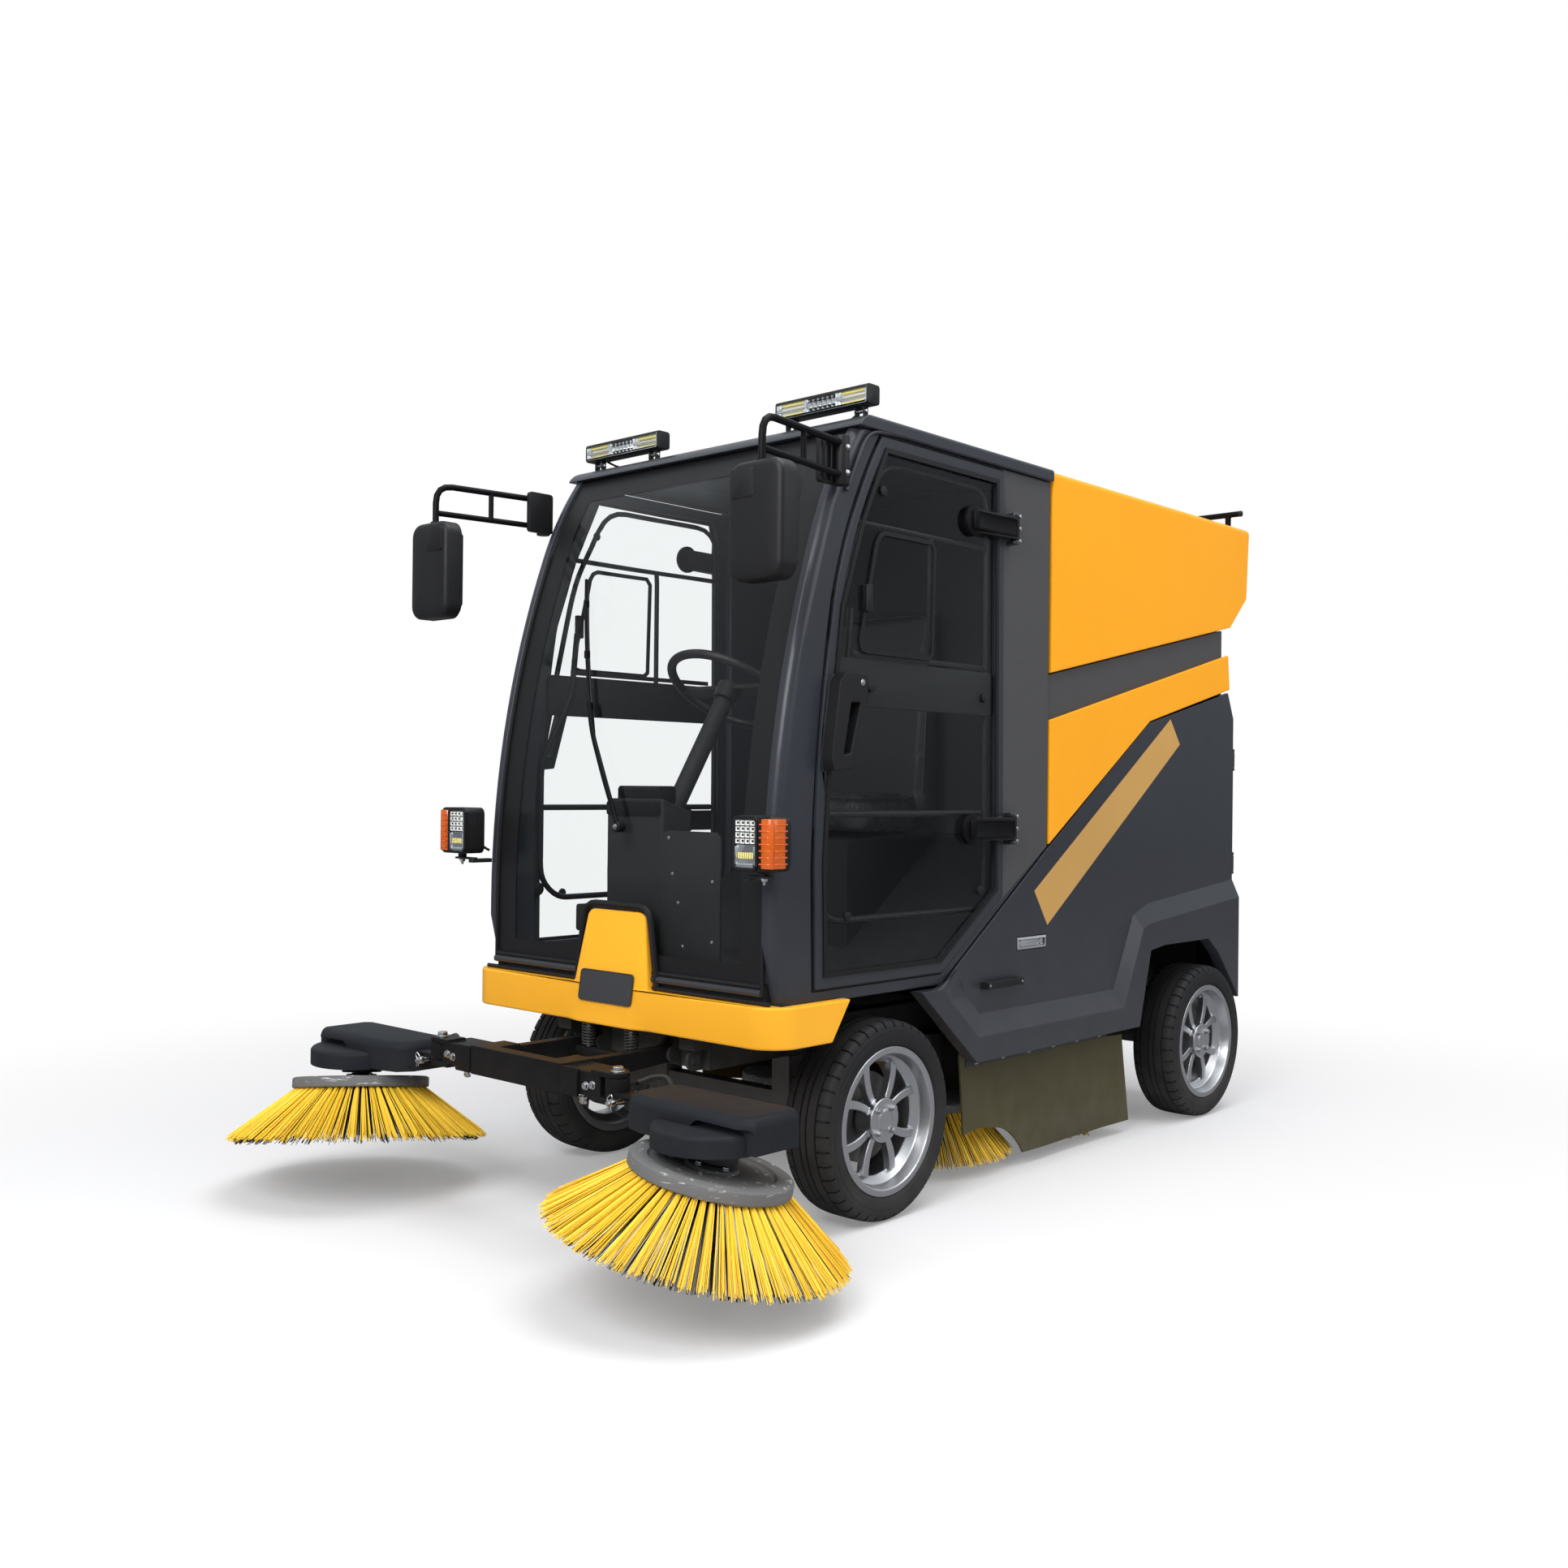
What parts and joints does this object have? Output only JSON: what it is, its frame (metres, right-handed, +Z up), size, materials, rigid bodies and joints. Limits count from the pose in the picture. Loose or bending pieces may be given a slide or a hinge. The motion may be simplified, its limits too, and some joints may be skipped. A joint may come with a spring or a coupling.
{
  "type": "compact road sweeper",
  "caption": "Small cab-over road sweeper with a tipping hopper, glazed cab, front disc brushes on a lifting boom and a main roller brush under the body.",
  "frame": {"origin": "on the ground under the middle of the whole vehicle", "axes": "+X to the vehicle's left, the front faces -Y, +Z up"},
  "size_m": [2.1766, 3.4811, 2.328],
  "materials": {
    "frame_paint": "satin black paint",
    "battery_case": "moulded battery case",
    "cab_paint": "grey body paint",
    "panel_paint": "dark blue-grey paint",
    "glass": "tinted safety glass",
    "black_plastic": "black moulded plastic",
    "seat_cover": "black woven cover",
    "bumper_yellow": "yellow moulded bumper",
    "hopper_yellow": "yellow gloss paint",
    "lens": "clear lamp lens",
    "tail_lens": "red lamp lens",
    "mirror": "mirror glass",
    "flap_rubber": "olive rubber sheet",
    "spring_steel": "spring steel",
    "bristle": "yellow and black bristles",
    "tyre_rubber": "worn black rubber",
    "alloy": "silver cast wheel"
  },
  "bodies": {
    "chassis": {"frame_rails": "frame_paint", "cross_members": "frame_paint", "front_axle": "frame_paint", "rear_axle": "frame_paint", "battery_pack": "battery_case", "cab_sides": "cab_paint", "windscreen": "glass", "cab_floor": "cab_paint", "cab_rear_wall": "cab_paint", "cab_roof": "cab_paint", "dashboard": "black_plastic", "driver_seat": "seat_cover", "front_bumper": "bumper_yellow", "tow_brackets": "frame_paint", "work_lamps": "black_plastic", "lamp_lenses": "lens", "light_bars": "black_plastic", "mirrors": "black_plastic", "mirror_glasses": "mirror", "wiper": "black_plastic", "body_shell": "cab_paint", "side_fairings": "hopper_yellow", "rear_panel": "panel_paint", "tail_lamps": "tail_lens", "brush_hood": "frame_paint", "side_flaps": "flap_rubber", "mid_brush_motors": "frame_paint", "boom_mount": "frame_paint", "lift_springs": "spring_steel"},
    "steering_wheel": {"steering_wheel": "black_plastic"},
    "hopper": {"hopper": "hopper_yellow"},
    "hatch": {"hopper_hatch": "hopper_yellow"},
    "main_brush": {"main_brush": "bristle"},
    "brush_boom": {"brush_boom": "frame_paint"},
    "knuckle_left": {"knuckle_left": "frame_paint"},
    "front_wheel_left": {"rim_front_left": "alloy", "tyre_front_left": "tyre_rubber"},
    "rear_wheel_left": {"rim_rear_left": "alloy", "tyre_rear_left": "tyre_rubber"},
    "cab_door_left": {"cab_door_left": "black_plastic", "door_glass_left": "glass"},
    "side_door_left": {"side_door_left": "panel_paint"},
    "side_arm_left": {"side_arm_left": "black_plastic"},
    "side_brush_left": {"side_brush_left": "bristle"},
    "mid_brush_left": {"mid_brush_left": "bristle"},
    "knuckle_right": {"knuckle_right": "frame_paint"},
    "front_wheel_right": {"rim_front_right": "alloy", "tyre_front_right": "tyre_rubber"},
    "rear_wheel_right": {"rim_rear_right": "alloy", "tyre_rear_right": "tyre_rubber"},
    "cab_door_right": {"cab_door_right": "black_plastic", "door_glass_right": "glass"},
    "side_door_right": {"side_door_right": "panel_paint"},
    "side_arm_right": {"side_arm_right": "black_plastic"},
    "side_brush_right": {"side_brush_right": "bristle"},
    "mid_brush_right": {"mid_brush_right": "bristle"}
  },
  "joints": [
    {"name": "steer_left", "type": "hinge", "parent": "chassis", "child": "knuckle_left", "pos_m": [0.44, -0.54374, 0.28], "axis": [0, 0, 1], "range_deg": [-28, 28]},
    {"name": "spin_front_left", "type": "hinge", "parent": "knuckle_left", "child": "front_wheel_left", "pos_m": [0.565, -0.54374, 0.28], "axis": [1, 0, 0], "continuous": true},
    {"name": "spin_rear_left", "type": "hinge", "parent": "chassis", "child": "rear_wheel_left", "pos_m": [0.565, 1.34926, 0.28], "axis": [1, 0, 0], "continuous": true},
    {"name": "open_cab_left", "type": "hinge", "parent": "chassis", "child": "cab_door_left", "pos_m": [0.632, 0.06426, 1.2], "axis": [0, 0, 1], "range_deg": [0, 80]},
    {"name": "open_side_left", "type": "hinge", "parent": "chassis", "child": "side_door_left", "pos_m": [0.59, 1.64626, 1], "axis": [0, 0, 1], "range_deg": [0, 80]},
    {"name": "swing_arm_left", "type": "hinge", "parent": "brush_boom", "child": "side_arm_left", "pos_m": [0.376, -1.31374, 0.4455], "axis": [0, 0, -1], "range_deg": [-5, 25]},
    {"name": "spin_side_left", "type": "hinge", "parent": "side_arm_left", "child": "side_brush_left", "pos_m": [0.746, -1.34374, 0.323], "axis": [0.1559, 0.1372, 0.9782], "continuous": true},
    {"name": "spin_mid_left", "type": "hinge", "parent": "chassis", "child": "mid_brush_left", "pos_m": [0.3, 0.07626, 0.2], "axis": [0, 0, 1], "continuous": true},
    {"name": "steer_right", "type": "hinge", "parent": "chassis", "child": "knuckle_right", "pos_m": [-0.44, -0.54374, 0.28], "axis": [0, 0, 1], "range_deg": [-28, 28]},
    {"name": "spin_front_right", "type": "hinge", "parent": "knuckle_right", "child": "front_wheel_right", "pos_m": [-0.565, -0.54374, 0.28], "axis": [1, 0, 0], "continuous": true},
    {"name": "spin_rear_right", "type": "hinge", "parent": "chassis", "child": "rear_wheel_right", "pos_m": [-0.565, 1.34926, 0.28], "axis": [1, 0, 0], "continuous": true},
    {"name": "open_cab_right", "type": "hinge", "parent": "chassis", "child": "cab_door_right", "pos_m": [-0.632, 0.06426, 1.2], "axis": [0, 0, -1], "range_deg": [0, 80]},
    {"name": "open_side_right", "type": "hinge", "parent": "chassis", "child": "side_door_right", "pos_m": [-0.59, 1.64626, 1], "axis": [0, 0, -1], "range_deg": [0, 80]},
    {"name": "swing_arm_right", "type": "hinge", "parent": "brush_boom", "child": "side_arm_right", "pos_m": [-0.376, -1.31374, 0.4455], "axis": [0, 0, 1], "range_deg": [-5, 25]},
    {"name": "spin_side_right", "type": "hinge", "parent": "side_arm_right", "child": "side_brush_right", "pos_m": [-0.746, -1.34374, 0.323], "axis": [-0.1559, 0.1372, 0.9782], "continuous": true},
    {"name": "spin_mid_right", "type": "hinge", "parent": "chassis", "child": "mid_brush_right", "pos_m": [-0.3, 0.07626, 0.2], "axis": [0, 0, 1], "continuous": true},
    {"name": "steer_wheel", "type": "hinge", "parent": "chassis", "child": "steering_wheel", "pos_m": [0, -0.54374, 1.5], "axis": [0, 0.5299, 0.848], "range_deg": [-420, 420]},
    {"name": "tip_hopper", "type": "hinge", "parent": "chassis", "child": "hopper", "pos_m": [0, 1.62126, 1.68], "axis": [-1, 0, 0], "range_deg": [0, 50]},
    {"name": "open_hatch", "type": "hinge", "parent": "hopper", "child": "hatch", "pos_m": [0, 1.7287, 2.186], "axis": [1, 0, 0], "range_deg": [0, 70]},
    {"name": "spin_main", "type": "hinge", "parent": "chassis", "child": "main_brush", "pos_m": [0, 0.65626, 0.182], "axis": [1, 0, 0], "continuous": true},
    {"name": "lift_boom", "type": "hinge", "parent": "chassis", "child": "brush_boom", "pos_m": [0, -0.93174, 0.455], "axis": [-1, 0, 0], "range_deg": [-10, 15], "deforming": ["lift_springs"]}
  ],
  "couplings": [
    {"joint": "steer_right", "follows": "steer_left", "ratio": 1},
    {"joint": "steer_wheel", "follows": "steer_left", "ratio": 15}
  ]
}
